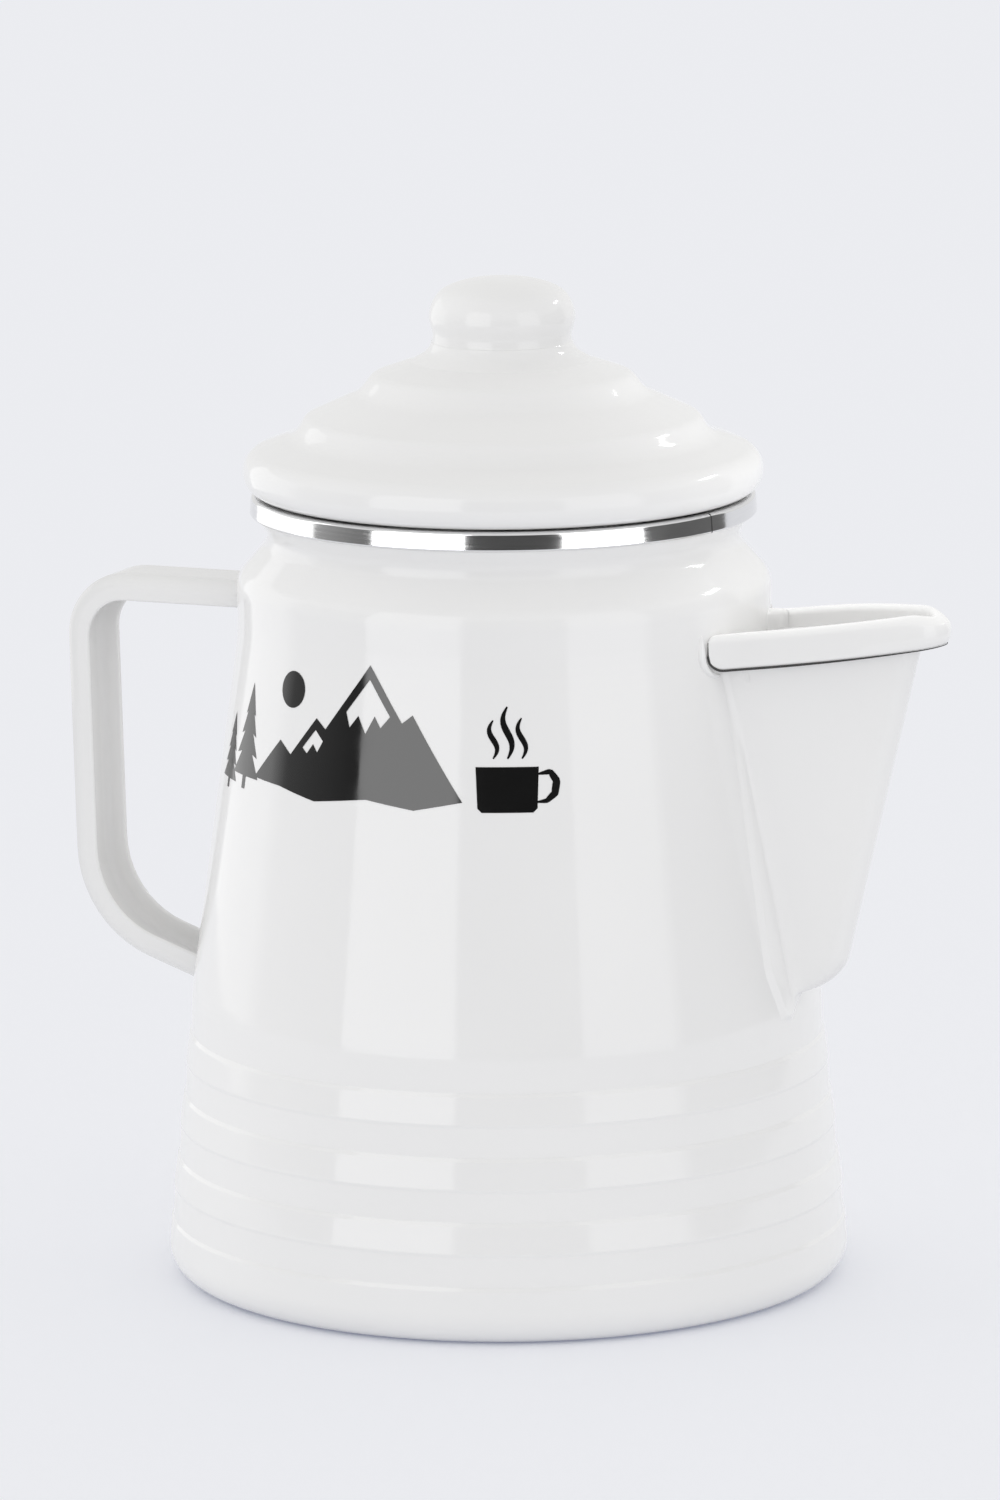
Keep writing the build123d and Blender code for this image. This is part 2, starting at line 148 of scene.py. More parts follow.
# --- spout
FLANGE_RISE = 0.7
FLANGE_EDGE = 2.1           # width over which the flange's edge runs down to the wall
FLANGE_SINK = 0.04          # how far that edge ends inside the wall
FLANGE_OUTLINE = (          # across the wall and up it, with roundings
    (-15.2, 136.0, 2.0),
    (-13.9, 112.0, 30.0),
    (-14.0, 67.0, 9.0),
    (-9.8, 56.2, 2.6),
    (-6.0, 55.8, 2.6),
    (0.0, 60.4, 4.0),
    (13.8, 64.8, 5.0),
    (13.9, 112.0, 30.0),
    (15.2, 136.0, 2.0),
)
SPOUT_FLOOR_Z = 61.6
SPOUT_HEEL = 7.4            # height over which the heel rounds off
HEEL_SLOPE = 9.0            # how fast the vee draws back under its heel
KEEL_LOW = (60.0, 70.8)     # height and distance of the keel from the pot's axis
KEEL_TOP = (139.0, 89.6)
KEEL_R = 3.9
VEE_ANGLE = radians(16.6)
ROOT_BLEND = 3.2            # softness of the vee's root on the flange
SPOUT_SHEET = 1.05
SPOUT_HALF = 15.2           # half its width with the flange
SPOUT_TOP_Z = 135.5
SPOUT_COLUMN = 0.2          # spacing of the points across the spout
SPOUT_FINE_Z = 71.0         # below this its rows are close together
SPOUT_FINE_ROW = 0.3
SPOUT_ROW = 1.25

# --- hem, the folded lip of the spout
HEM_APEX_X = 111.0
HEM_ANGLE = radians(16.0)
HEM_TIP_R = 6.5
HEM_TIP_X = 93.9
HEM_SIDES = ((-1, "near"), (1, "far"))
TIP_CENTRE = Vector((HEM_TIP_X - HEM_TIP_R, 0.0))
HEM_ROOT_X = 52.5
HEM_ROOT_Z = 134.9
HEM_SLOPE = 0.075
HEM_CURVE = 0.0011
HEM_FAR_RISE = 1.3          # the far side stands a little higher half way along
HEM_WIDTH = 3.6
HEM_HEIGHT = 7.2
HEM_SECTION = (             # outwards and up from the hem's outer top edge, and rounding
    (-HEM_WIDTH, -6.0, 0.0),
    (-HEM_WIDTH, 0.0, 1.3),
    (0.0, 0.0, 1.7),
    (0.0, -HEM_HEIGHT, 1.0),
    (-3.0, -HEM_HEIGHT, 0.4),
)
HEM_LEG = 60.0              # sides of the plan line's corner, longer than the hem
HEM_FOOT_Z = 131.0          # the hem's ends meet the wall at this height
HEM_END_R = 3.0             # rounding of the hem's lower corner at the wall
HEM_END_STEP = 0.25         # spacing of the hem's sections over the first HEM_END_RUN
HEM_END_RUN = 4.0
HEM_FLARE = 1.3             # the hem spreads sideways where it meets the wall
HEM_FLARE_RUN = 7.0
HEM_BEND_DEPTH = 2.6        # below this a section follows the rounding of its lower corner
HEM_TRIM_DEPTH = 3.4        # the spout's sheet ends this far below the hem's root
HEM_TRIM_RUN = 38.0         # the trim's slope is the mean slope of the hem over this run
TIP_DROP = 1.9              # the hem's top dips by this much at its tip
TIP_DROP_X = 87.0
TIP_DROP_RUN = 7.4
TIP_DROP_DEPTH = 4.0
TIP_ROUND_X = 77.0          # from here outwards the hem's outer face rounds off
TIP_ROUND_RUN = 15.0
TIP_ROUND_TOP = (4.2, 2.1)  # height of the rounding at the face's top, and how far it draws in
TIP_ROUND_LOW = (2.8, 1.3)  # the same at its lower corner
EDGE_R = 0.24               # the hem's bare edge
EDGE_INSET = 0.08
EDGE_LIFT = 0.16
EDGE_THIN_X = 66.0          # from here the bare edge thins out towards the tip
EDGE_THIN_RUN = 27.0
EDGE_THIN = 0.62
EDGE_END_STEP = 0.4         # the edge's ends run up the wall in seven steps
INNER_FILLET_R = 2.8
FILLET_SINK = 0.05
FILLET_TAPER = 0.12         # the top rows sink in more and more
FILLET_NEAR_DROP = 1.0      # the near fillet ends this much lower
FILLET_HEIGHTS = (126.0, 128.0, 130.0, 132.0, 133.4, 134.4, 134.9, 135.25, 135.4)
BEAD_ACROSS = 19.6          # enamel bead on the wall, just beyond the hem's end
BEAD_TURN = (4.4, 4.2)      # width and height of the turn at the bead's foot
BEAD_TURN_TOP = 3.1         # height of the turn's end over the hem's underside
BEAD_STEP = 0.36

# --- handle
HANDLE_LINE = (
    (-45.0, 137.9, 0.0),
    (-93.3, 137.9, 13.0),
    (-91.5, 64.5, 24.0),
    (-56.0, 51.9, 0.0),
)
HANDLE_HALF = 7.9           # half its width
HANDLE_DEPTH = 5.3
HANDLE_CORNER_R = 3.0
HANDLE_EDGE_R = 0.55
HANDLE_SKIN = 0.6           # points of the channel's section nearer to its back than this are its back
WELD_R = 2.2                # hollow of the weld where the handle meets the wall

# --- printed drawing
PRINT_AZIMUTH = radians(-101.0)
PRINT_LOW_Z = 99.5
PRINT_MIDDLE = 16.0         # height in the drawing at which its widths are true
PRINT_RISE = 0.07
PRINT_GRID = 1.7            # spacing of the points inside a shape
PRINT_MARGIN = 0.8
STROKE_POINTS = 26

# --- studio: azimuths are degrees from the camera's side, elevations degrees over the horizon
WORLD_GLOW = 0.84
FLOOR_LIT = (0.9, 0.9, 0.9)
FLOOR_GLOW = (0.0788, 0.0868, 0.1194)
FLOOR_HALF = 12000.0
FLOOR_Z = -0.1
SOFTBOX_DISTANCE = 0.62
SOFTBOX_LOW_Z = 0.004
SOFTBOX_TOP_Z = 0.62
SOFTBOXES = (               # name, azimuth, half angle, radiance, pieces
    ("softbox_left", -38.5, 20.5, 1.6, "coated_but_handle"),
    ("softbox_right", 43.0, 17.0, 0.9, "coated"),
    ("softbox_left_band", -37.1, 21.9, 2.2, "band"),
    ("softbox_right_band", 47.5, 21.8, 2.6, "band"),
    ("softbox_far_left_band", -99.0, 7.0, 1.2, "band"),
)
LAMP = ("lamp_right", 117.0, 31.0, 1.3, 0.25, 0.072, 36.0, 0.15, "coated")
FILLS = (                   # name, azimuth, elevation, distance, width, height, radiance, aim height, pieces
    ("fill_front", 4.0, 12.0, 2.6, 2.4, 1.4, 1.04, 0.09, "all"),
    ("fill_left", -112.0, 12.0, 1.6, 1.2, 1.2, 1.6, 0.09, "coated_but_handle"),
    ("fill_right", 138.0, 15.0, 1.6, 1.2, 1.2, 2.0, 0.09, "coated_but_handle"),
    ("fill_spout", 68.0, 66.0, 1.3, 0.9, 0.9, 1.0, 0.09, "spout"),
    ("fill_inside", -128.0, 30.0, 1.3, 0.8, 0.8, 4.6, 0.09, "spout"),
    ("fill_throat", 62.0, 10.0, 0.1, 0.03, 0.03, 0.9, 0.135, "throat"),
    ("fill_lid", 110.0, 12.0, 1.4, 0.9, 0.55, 1.4, 0.09, "lid"),
)
CARD_DISTANCE = 640.0
CARD_LOW_Z = 1.0
CARD_TOP_Z = 420.0
CARD_STEPS = 24
CARDS = (                   # name, azimuths of the left and right edge, glow at the left and right edge
    ("card_front", -17.0, 25.5, 0.08, 0.08),
    ("card_left_grey", -96.0, -59.0, 0.42, 0.16),
    ("card_left_edge", -106.0, -96.0, 1.35, 0.42),
    ("card_left_white", -146.0, -106.0, 1.35, 1.35),
    ("card_right", 63.0, 116.0, 0.10, 0.16),
)


# ===== outlines
def clamped(value):
    """The value kept between 0 and 1."""
    return max(0.0, min(1.0, value))


def eased(share):
    """Smooth step from 0 to 1."""
    return share * share * (3 - 2 * share)


def quarter_round(share):
    """Rises from 0 to 1 along a quarter of a circle, slowly at first."""
    return 1 - sqrt(1 - share * share)


def turned(k, count):
    """Angle of step k when a full turn has count steps."""
    return 2 * pi * k / count


def corner_arc(before, corner, after, radius):
    """Points of the arc that rounds one corner of a polyline."""
    to_before = (before - corner).normalized()
    to_after = (after - corner).normalized()
    inside = to_before.angle(to_after)
    if radius < 1e-6 or inside > pi - 1e-3:
        return [corner]
    cut = radius / tan(inside / 2)
    limit = 0.98 * min((before - corner).length, (after - corner).length)
    if cut > limit:
        radius *= limit / cut
        cut = limit
    start = corner + to_before * cut
    centre = corner + (to_before + to_after).normalized() * (radius / sin(inside / 2))
    turn = pi - inside
    spoke = start - centre
    sense = 1.0 if spoke.cross(corner + to_after * cut - centre) > 0 else -1.0
    count = max(3, ceil(degrees(turn) / ARC_STEP))
    return [centre + Matrix.Rotation(sense * turn * k / count, 2) @ spoke for k in range(count + 1)]


def rounded(corners, closed=False):
    """Points along a line of (across, up, rounding) corners."""
    points = [Vector(corner[:2]) for corner in corners]
    line = []
    count = len(points)
    for index, corner in enumerate(corners):
        if not closed and index in (0, count - 1):
            line.append(points[index])
            continue
        before = points[index - 1]
        after = points[(index + 1) % count]
        line.extend(corner_arc(before, points[index], after, corner[2]))
    return line


def closed_section(corners):
    """Rounded closed outline with support points near its corners."""
    section = rounded(corners, closed=True)
    return with_supports(section + [section[0]], 3.0, 0.35)[:-1]


def with_supports(line, step=5.0, support=0.45):
    """Adds points near both ends of each long run, so that its shading stays flat."""
    dense = [line[0]]
    for start, end in zip(line, line[1:]):
        length = (end - start).length
        if length > 3 * support:
            run = length - 2 * support
            inner = max(1, ceil(run / step))
            for k in range(inner + 1):
                dense.append(start.lerp(end, (support + run * k / inner) / length))
        dense.append(end)
    return dense


def shifted(corners, distance):
    """The same corners moved sideways by distance, to the right of the line's direction."""
    points = [Vector(corner[:2]) for corner in corners]
    sides = []
    for start, end in zip(points, points[1:]):
        along = (end - start).normalized()
        sides.append(Vector((along.y, -along.x)))
    moved = []
    last = len(points) - 1
    for index, point in enumerate(points):
        first_side = sides[max(index - 1, 0)]
        next_side = sides[min(index, last - 1)]
        both = (first_side + next_side) / (1 + first_side.dot(next_side))
        turn = first_side.cross(next_side)
        radius = corners[index][2]
        if radius:
            radius = max(0.3, radius - distance if turn < 0 else radius + distance)
        place = point + both * distance
        moved.append((place.x, place.y, radius))
    return moved


def smooth_curve(points, steps=10):
    """Points on a rounded curve through all the given ones."""
    knots = [Vector(point) for point in points]
    mirrored = Vector((-knots[1].x, knots[1].y))
    knots = [mirrored] + knots + [knots[-1] * 2 - knots[-2]]
    line = []
    for index in range(1, len(knots) - 2):
        p0, p1, p2, p3 = knots[index - 1:index + 3]
        for k in range(steps):
            t = k / steps
            line.append(0.5 * (
                2 * p1 + (p2 - p0) * t + (2 * p0 - 5 * p1 + 4 * p2 - p3) * t ** 2
                + (3 * p1 - p0 - 3 * p2 + p3) * t ** 3
            ))
    line.append(knots[-2])
    return line


def pot_corners():
    """Corners of the pot's outer outline, from base centre to mouth."""
    rings = []
    for ring in range(RING_COUNT):
        top_r = RING_TOP_R + ring * RING_GAIN
        top_z = RING_TOP_Z - ring * RING_PITCH
        steps = RING_STEPS if ring < RING_COUNT - 1 else RING_STEPS[:2]
        rings.extend((top_r + out, top_z + up, rounding) for out, up, rounding in steps)
    return [(0.0, 0.0, 0.0), (BASE_R, 0.0, BASE_CORNER_R)] + rings[::-1] + list(POT_UPPER)


POT_LINE = rounded(pot_corners())
WALL_LINE = [(p.y, p.x) for p in POT_LINE if p.y > RING_TOP_Z - 1.0]


def wall_r(height):
    """Radius of the pot's outer wall at a height above its rings."""
    for low, high in zip(WALL_LINE, WALL_LINE[1:]):
        if low[0] <= height <= high[0]:
            share = (height - low[0]) / max(high[0] - low[0], 1e-9)
            return low[1] + share * (high[1] - low[1])
    return WALL_LINE[0][1]


# ===== mesh helpers
def new_object(name, points, faces, material, body=None):
    """Smooth-shaded mesh object from points in millimetres; it rides on a body if one is named."""
    mesh = bpy.data.meshes.new(name)
    mesh.from_pydata([tuple(c * MM for c in p) for p in points], [], faces)
    mesh.validate()
    mesh.polygons.foreach_set("use_smooth", [True] * len(mesh.polygons))
    mesh.materials.append(material)
    obj = bpy.data.objects.new(name, mesh)
    bpy.context.scene.collection.objects.link(obj)
    if body:
        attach(obj, body)
    return obj


def recalc_normals(obj):
    """Merges points that coincide and turns all the faces outwards."""
    mesh = bmesh.new()
    mesh.from_mesh(obj.data)
    bmesh.ops.remove_doubles(mesh, verts=mesh.verts, dist=1e-7)
    bmesh.ops.recalc_face_normals(mesh, faces=mesh.faces)
    mesh.to_mesh(obj.data)
    mesh.free()


def lathe(name, line, material, body, segments=TURN_SEGMENTS):
    """Turns a closed outline of (radius, height) about Z into a surface; it may touch the axis."""
    points = []
    rows = []
    for p in line:
        if p.x < 1e-6:
            rows.append([len(points)] * segments)
            points.append((0.0, 0.0, p.y))
            continue
        rows.append(list(range(len(points), len(points) + segments)))
        angles = [turned(k, segments) for k in range(segments)]
        points.extend((p.x * cos(angle), p.x * sin(angle), p.y) for angle in angles)
    faces = []
    for low, high in zip(rows, rows[1:] + rows[:1]):
        for k in range(segments):
            after = (k + 1) % segments
            face = list(dict.fromkeys((low[k], low[after], high[after], high[k])))
            if len(face) > 2:       # otherwise it lies along the axis
                faces.append(face)
    obj = new_object(name, points, faces, material, body)
    recalc_normals(obj)
    return obj


def grid_faces(rows, columns, closed=False):
    """Quads over points stored row by row, with each row closed into a ring or not."""
    faces = []
    for low in range(0, (rows - 1) * columns, columns):
        for k in range(columns if closed else columns - 1):
            after = (k + 1) % columns
            faces.append((low + k, low + after, low + columns + after, low + columns + k))
    return faces


def sleeve_faces(rows, columns):
    """Faces of a closed tube: rings of quads and a cap at each end."""
    caps = [tuple(range(columns)), tuple(range((rows - 1) * columns, rows * columns))]
    return grid_faces(rows, columns, closed=True) + caps


def tube(name, path, radii, material, body, sides=12):
    """Round wire along a path of 3-D points, each with its radius, with domed ends."""
    points = []
    rows = 0
    last = len(path) - 1
    for index, place in enumerate(path):
        radius = radii[index]
        along = (path[min(index + 1, last)] - path[max(index - 1, 0)]).normalized()
        side = along.cross(Vector((0.31, 0.17, 0.93))).normalized()
        up = side.cross(along)
        scales = [1.0]
        if index == 0:
            scales = [0.35, 0.8, 1.0]
        if index == last:
            scales = [1.0, 0.8, 0.35]
        for scale in scales:
            back = radius * (sqrt(1 - scale * scale) if scale < 1 else 0.0)
            shift = along * (-back if index == 0 else back)
            for k in range(sides):
                angle = turned(k, sides)
                spoke = side * cos(angle) + up * sin(angle)
                points.append(place + shift + spoke * radius * scale)
            rows += 1
    recalc_normals(new_object(name, points, sleeve_faces(rows, sides), material, body))


# ===== materials
def set_inputs(node, values):
    """Sets a node's inputs from their names and values."""
    for name, value in values.items():
        node.inputs[name].default_value = value


def node_material(name):
    """New material with its nodes, its links and its shader."""
    material = bpy.data.materials.new(name)
    material.use_nodes = True
    nodes = material.node_tree.nodes
    return material, nodes, material.node_tree.links, nodes["Principled BSDF"]


def add_noise(nodes, links, scale, detail, upward=1.0):
    """Noise in object space, squeezed along Z by the factor upward."""
    place = nodes.new("ShaderNodeTexCoord")
    mapping = nodes.new("ShaderNodeMapping")
    noise = nodes.new("ShaderNodeTexNoise")
    set_inputs(mapping, {"Scale": (1.0, 1.0, upward)})
    set_inputs(noise, {"Scale": scale, "Detail": detail})
    links.new(place.outputs["Object"], mapping.inputs["Vector"])
    links.new(mapping.outputs["Vector"], noise.inputs["Vector"])
    return noise.outputs["Fac"]


def ramp(nodes, links, source, low, high):
    """Maps the middle of noise's range, 0.3 to 0.7, onto a range between two numbers."""
    spread = nodes.new("ShaderNodeMapRange")
    set_inputs(spread, {"From Min": 0.3, "From Max": 0.7, "To Min": low, "To Max": high})
    links.new(source, spread.inputs["Value"])
    return spread.outputs["Result"]


def tint(nodes, links, source, low, high):
    """Blends two colours by a 0 to 1 value."""
    mix = nodes.new("ShaderNodeMix")
    mix.data_type = "RGBA"
    set_inputs(mix, {"A": (*low, 1), "B": (*high, 1)})
    links.new(source, mix.inputs["Factor"])
    return mix.outputs["Result"]


def vary(nodes, links, shader, source, colours, roughness):
    """Lets a value blend a shader's colour and its roughness, each between two limits."""
    links.new(tint(nodes, links, source, *colours), shader.inputs["Base Color"])
    links.new(ramp(nodes, links, source, *roughness), shader.inputs["Roughness"])


def add_bump(nodes, links, shader, sources):
    """Chains bumps of (height, strength, distance in millimetres) into a shader's normal."""
    normal = None
    for source, strength, distance in sources:
        bump = nodes.new("ShaderNodeBump")
        set_inputs(bump, {"Strength": strength, "Distance": distance * MM})
        links.new(source, bump.inputs["Height"])
        if normal:
            links.new(normal, bump.inputs["Normal"])
        normal = bump.outputs["Normal"]
    links.new(normal, shader.inputs["Normal"])


def enamel_material():
    """Glossy white vitreous enamel with the faint waves of a fired coat."""
    material, nodes, links, shader = node_material("white_enamel")
    cloud = add_noise(nodes, links, 28.0, 3.0)
    links.new(tint(nodes, links, cloud, (0.800, 0.797, 0.791), (0.830, 0.827, 0.820)),
              shader.inputs["Base Color"])
    patches = add_noise(nodes, links, 90.0, 3.0)
    links.new(ramp(nodes, links, patches, 0.05, 0.11), shader.inputs["Roughness"])
    set_inputs(shader, {"IOR": 1.52, "Specular IOR Level": 0.3})
    waves = add_noise(nodes, links, 55.0, 1.0)
    peel = add_noise(nodes, links, 330.0, 2.0)
    add_bump(nodes, links, shader, [(waves, 0.35, 0.12), (peel, 0.25, 0.025)])
    return material


def raw_edge_material():
    """Dark bare edge where the enamel runs off a folded sheet."""
    material, nodes, links, shader = node_material("raw_edge")
    cloud = add_noise(nodes, links, 900.0, 3.0)
    vary(nodes, links, shader, cloud, ((0.012, 0.012, 0.013), (0.05, 0.048, 0.046)), (0.3, 0.55))
    add_bump(nodes, links, shader, [(cloud, 0.4, 0.05)])
    return material


def ink_material():
    """Black ceramic print, fired on and almost as glossy as the enamel."""
    material, nodes, links, shader = node_material("black_print")
    cloud = add_noise(nodes, links, 150.0, 3.0)
    vary(nodes, links, shader, cloud, ((0.002, 0.002, 0.002), (0.005, 0.005, 0.005)), (0.07, 0.12))
    set_inputs(shader, {"IOR": 1.5, "Specular IOR Level": 0.95})
    peel = add_noise(nodes, links, 330.0, 2.0)
    add_bump(nodes, links, shader, [(peel, 0.25, 0.025)])
    return material


def steel_material(name, colours, roughness, grain):
    """Bare stainless steel with fine marks running round the pot's axis."""
    material, nodes, links, shader = node_material(name)
    set_inputs(shader, {"Metallic": 1.0})
    rings = add_noise(nodes, links, 60.0, 4.0, grain)
    vary(nodes, links, shader, rings, colours, roughness)
    add_bump(nodes, links, shader, [(rings, 0.12, 0.02)])
    return material


def floor_material():
    """Seamless pale floor: mostly its own even glow, partly lit, so contact shadows stay soft."""
    material, _, _, shader = node_material("studio_floor")
    set_inputs(shader, {
        "Base Color": (*FLOOR_LIT, 1),
        "Roughness": 1.0,
        "Specular IOR Level": 0.0,
        "Emission Color": (*FLOOR_GLOW, 1),
        "Emission Strength": 1.0,
    })
    return material


def card_material(name, left, right):
    """Unlit card of the room behind the lights, its glow graded from its left edge to its right."""
    material, nodes, links, shader = node_material(name)
    place = nodes.new("ShaderNodeTexCoord")
    across = nodes.new("ShaderNodeSeparateXYZ")
    links.new(place.outputs["UV"], across.inputs["Vector"])
    glow = tint(nodes, links, across.outputs["X"], (left,) * 3, (right,) * 3)
    links.new(glow, shader.inputs["Emission Color"])
    black = (0.0, 0.0, 0.0, 1)
    set_inputs(shader, {"Emission Strength": 1.0, "Base Color": black, "Specular IOR Level": 0.0})
    return material


# ===== pot
def make_pot(enamel):
    inner = with_supports(rounded(POT_INNER))
    outer = with_supports(POT_LINE)
    pot = lathe("pot_body", outer + inner, enamel, "pot")
    cut_strainer(pot, enamel)
    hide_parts("pot_shell")


def cut_strainer(pot, enamel):
    """Drills the rows of holes that let coffee from the pot into the spout."""
    points = []
    faces = []
    sides = 24
    sleeve = sleeve_faces(2, sides)
    for row, count in enumerate(STRAINER_ROWS):
        height = STRAINER_LOW_Z + row * STRAINER_ROW_PITCH
        for hole in range(count):
            across = (hole - (count - 1) / 2) * STRAINER_PITCH
            first = len(points)
            for x in STRAINER_DRILL_X:
                for k in range(sides):
                    y = across + STRAINER_HOLE_R * cos(turned(k, sides))
                    z = height + STRAINER_HOLE_R * sin(turned(k, sides))
                    points.append((x, y, z))
            faces.extend(tuple(first + k for k in face) for face in sleeve)
    drills = new_object("strainer_drills", points, faces, enamel)
    recalc_normals(drills)
    holes = pot.modifiers.new("holes", "BOOLEAN")
    holes.operation = "DIFFERENCE"
    holes.solver = "EXACT"
    holes.object = drills
    apply_modifiers(pot)
    mesh = drills.data
    bpy.data.objects.remove(drills)
    bpy.data.meshes.remove(mesh)


def sheet_line(corners, thickness, step=5.0, support=0.45):
    """Closed outline of a sheet: the given side and the one that lies a thickness beside it."""
    sides = [with_supports(rounded(side), step, support) for side in (corners, shifted(corners, thickness))]
    return sides[0] + sides[1][::-1]


def make_rim_band(steel):
    line = sheet_line(BAND_OUTLINE, BAND_SHEET, 2.0, 0.2)
    band = lathe("rim_band_rolled", line, steel, "pot")
    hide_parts("rim_band")


def make_band_joint(dark):
    """Fine line where the two ends of the rim band meet."""
    outline = [p for p in with_supports(rounded(BAND_OUTLINE), 1.0, 0.2) if p.x > BAND_FACE_R]
    points = []
    for p in outline:
        reach = p.x + BAND_JOINT_LIFT
        height = p.y + (BAND_JOINT_LIFT if p.y > BAND_TOP_Z else 0.0)
        for side in (-0.5, 0.5):
            angle = BAND_JOINT_AZIMUTH + side * BAND_JOINT_WIDTH / p.x
            points.append((reach * cos(angle), reach * sin(angle), height))
    faces = grid_faces(len(outline), 2)
    new_object("band_joint", points, faces, dark, "pot")


def make_lid(enamel):
    lid = lathe("lid_dome", sheet_line(LID_OUTLINE, SHEET), enamel, "lid")
    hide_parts("lid_shell")


def make_knob(enamel):
    outer = smooth_curve(KNOB_POINTS)
    inner = []
    for radius, height in KNOB_POINTS[1:-1]:
        away = Vector((radius, height - KNOB_MIDDLE_Z)).normalized() * SHEET
        inner.append((radius - away.x, height - away.y))
    inner = [(0.0, KNOB_POINTS[0][1] - SHEET)] + inner + [(KNOB_POINTS[-1][0] - SHEET, KNOB_POINTS[-1][1])]
    line = outer + smooth_curve(inner)[::-1]
    knob = lathe("knob_cap", line, enamel, "lid", KNOB_SEGMENTS)
    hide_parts("lid_knob")


def make_skirt(steel):
    line = sheet_line(SKIRT_OUTLINE, -STEEL_SHEET, 4.0, 0.2)
    skirt = lathe("lid_centring_ring", line, steel, "lid")
    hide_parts("lid_skirt")


# ===== spout
def outline_span(height, outline):
    """Left and right limits of the flange's outline at one height."""
    crossings = []
    for start, end in zip(outline, outline[1:]):
        if (start.y - height) * (end.y - height) <= 0 and abs(end.y - start.y) > 1e-9:
            share = (height - start.y) / (end.y - start.y)
            crossings.append(start.x + share * (end.x - start.x))
    return min(crossings), max(crossings)


def edge_distance(across, height, outline):
    """Distance of a point inside the flange from its outline."""
    best = 1e9
    for start, end in zip(outline, outline[1:]):
        run = end - start
        along = (across - start.x) * run.x + (height - start.y) * run.y
        share = clamped(along / run.length_squared)
        best = min(best, hypot(start.x + run.x * share - across, start.y + run.y * share - height))
    return best


def wall_x(across, height):
    """Distance of the wall from the pot's middle plane, on the spout's side."""
    return sqrt(wall_r(height) ** 2 - across ** 2)


def vee_out(across, height):
    """Distance from the pot's middle plane to the folded vee of the spout, above its heel."""
    share = (height - KEEL_LOW[0]) / (KEEL_TOP[0] - KEEL_LOW[0])
    centre = KEEL_LOW[1] + share * (KEEL_TOP[1] - KEEL_LOW[1]) - KEEL_R
    if abs(across) < KEEL_R * cos(VEE_ANGLE):
        return centre + sqrt(KEEL_R ** 2 - across ** 2)
    return centre + (KEEL_R - abs(across) * cos(VEE_ANGLE)) / sin(VEE_ANGLE)


def spout_out(across, height, outline):
    """Distance from the pot's middle plane to the spout's outside: flange and vee blended."""
    edge = min(1.0, edge_distance(across, height, outline) / FLANGE_EDGE)
    skin = wall_x(across, height) - FLANGE_SINK + (FLANGE_RISE + FLANGE_SINK) * eased(edge)
    stand = vee_out(across, height) - skin
    rise = (height - SPOUT_FLOOR_Z) / SPOUT_HEEL
    if rise < 0:
        stand = min(stand, rise * HEEL_SLOPE)
    elif rise < 1 and stand > 0:
        stand *= sqrt(1 - (1 - rise) ** 2)
    if stand >= ROOT_BLEND:
        return skin + stand
    blend = max(0.0, stand + ROOT_BLEND) ** 2 / (4 * ROOT_BLEND)
    return skin + blend * edge


def resample(line, count):
    """Evenly spaced points along a polyline."""
    lengths = [0.0]
    for start, end in zip(line, line[1:]):
        lengths.append(lengths[-1] + (end - start).length)
    total = lengths[-1]
    picked = []
    index = 0
    for k in range(count):
        want = total * k / (count - 1)
        while index < len(line) - 2 and lengths[index + 1] < want:
            index += 1
        span = lengths[index + 1] - lengths[index]
        share = (want - lengths[index]) / span if span > 1e-12 else 0.0
        picked.append(line[index].lerp(line[index + 1], share))
    return picked


def spout_row(height, outline):
    """Points of one level section of the spout's outside, the same number in every row."""
    left, right = outline_span(height, outline)
    half = round(SPOUT_HALF / SPOUT_COLUMN)
    row = []
    for k in range(-half, half + 1):
        across = max(left, min(right, k * SPOUT_COLUMN))
        row.append((spout_out(across, height, outline), across, height))
    return row


def spout_heights(outline):
    """Heights of the spout's sections, closer together round its heel and tongue."""
    height = min(p.y for p in outline) + 0.02
    heights = []
    while height < SPOUT_TOP_Z:
        heights.append(height)
        height += SPOUT_FINE_ROW if height < SPOUT_FINE_Z else SPOUT_ROW
    return heights


def hem_rise(place):
    """Height of the hem's top edge above its root, at one place of its plan line."""
    run = place.x - HEM_ROOT_X
    far = sin(pi * clamped(run / (HEM_TIP_X - HEM_ROOT_X)))
    side = clamped(place.y / 4.0)
    return HEM_SLOPE * run + HEM_CURVE * run * run + HEM_FAR_RISE * far * side


def hem_drop(x):
    """The hem's top rounds down a little towards the very tip."""
    return TIP_DROP * eased(clamped((x - TIP_DROP_X) / TIP_DROP_RUN))


def cut_spout_top(obj):
    """Trims the spout's sheet half way up its hem."""
    mesh = bmesh.new()
    mesh.from_mesh(obj.data)
    slope = HEM_SLOPE + HEM_CURVE * HEM_TRIM_RUN
    bmesh.ops.bisect_plane(
        mesh, geom=mesh.verts[:] + mesh.edges[:] + mesh.faces[:],
        plane_co=(HEM_ROOT_X * MM, 0, (HEM_ROOT_Z - HEM_TRIM_DEPTH) * MM),
        plane_no=Vector((-slope, 0, 1)).normalized(), clear_outer=True,
    )
    mesh.to_mesh(obj.data)
    mesh.free()


def make_spout(enamel):
    outline = rounded(FLANGE_OUTLINE)
    rows = [spout_row(height, outline) for height in spout_heights(outline)]
    points = [p for row in rows for p in row]
    faces = grid_faces(len(rows), len(rows[0]))
    spout = new_object("spout_sheet", points, faces, enamel, "pot")
    cut_spout_top(spout)
    thick = spout.modifiers.new("sheet", "SOLIDIFY")
    thick.thickness = SPOUT_SHEET * MM
    thick.offset = -1.0
    thick.use_even_offset = False
    apply_modifiers(spout)
    recalc_normals(spout)
    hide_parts("spout")


